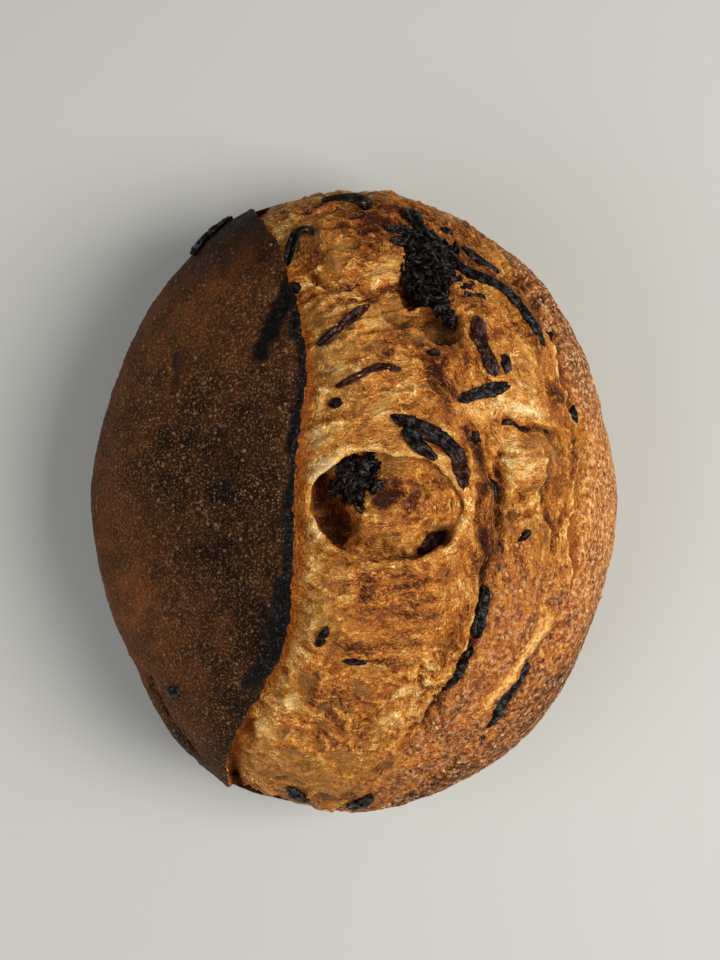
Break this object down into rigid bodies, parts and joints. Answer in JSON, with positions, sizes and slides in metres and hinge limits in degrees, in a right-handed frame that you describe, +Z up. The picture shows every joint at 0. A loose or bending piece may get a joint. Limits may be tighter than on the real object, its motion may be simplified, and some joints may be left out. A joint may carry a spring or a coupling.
{
  "type": "sourdough loaf",
  "caption": "Oval sourdough loaf with a dark lifted ear, an open torn golden crumb beside it and strips of charred onion baked in; rests flat on its base.",
  "frame": {"origin": "under the middle of the loaf, on the surface it rests on", "axes": "+Z up out of the scored top, +Y along the loaf, +X across it from the dark ear to the sandy outer crust"},
  "size_m": [0.1879, 0.2217, 0.1072],
  "materials": {
    "bread": "matte",
    "onion": "satin"
  },
  "bodies": {
    "root": {"loaf": "bread", "onion_top_bar": "onion", "onion_curl": "onion", "onion_rim": "onion", "onion_diagonal": "onion", "onion_thread": "onion", "onion_long": "onion", "onion_upper": "onion", "onion_tail": "onion", "onion_bar": "onion", "onion_purple": "onion", "onion_hollow": "onion", "onion_inner_score": "onion", "onion_inner_tail": "onion", "onion_outer_score": "onion", "onion_low_left": "onion", "onion_low_right": "onion", "onion_fork": "onion", "onion_clump": "onion", "onion_chunk": "onion"}
  },
  "joints": []
}
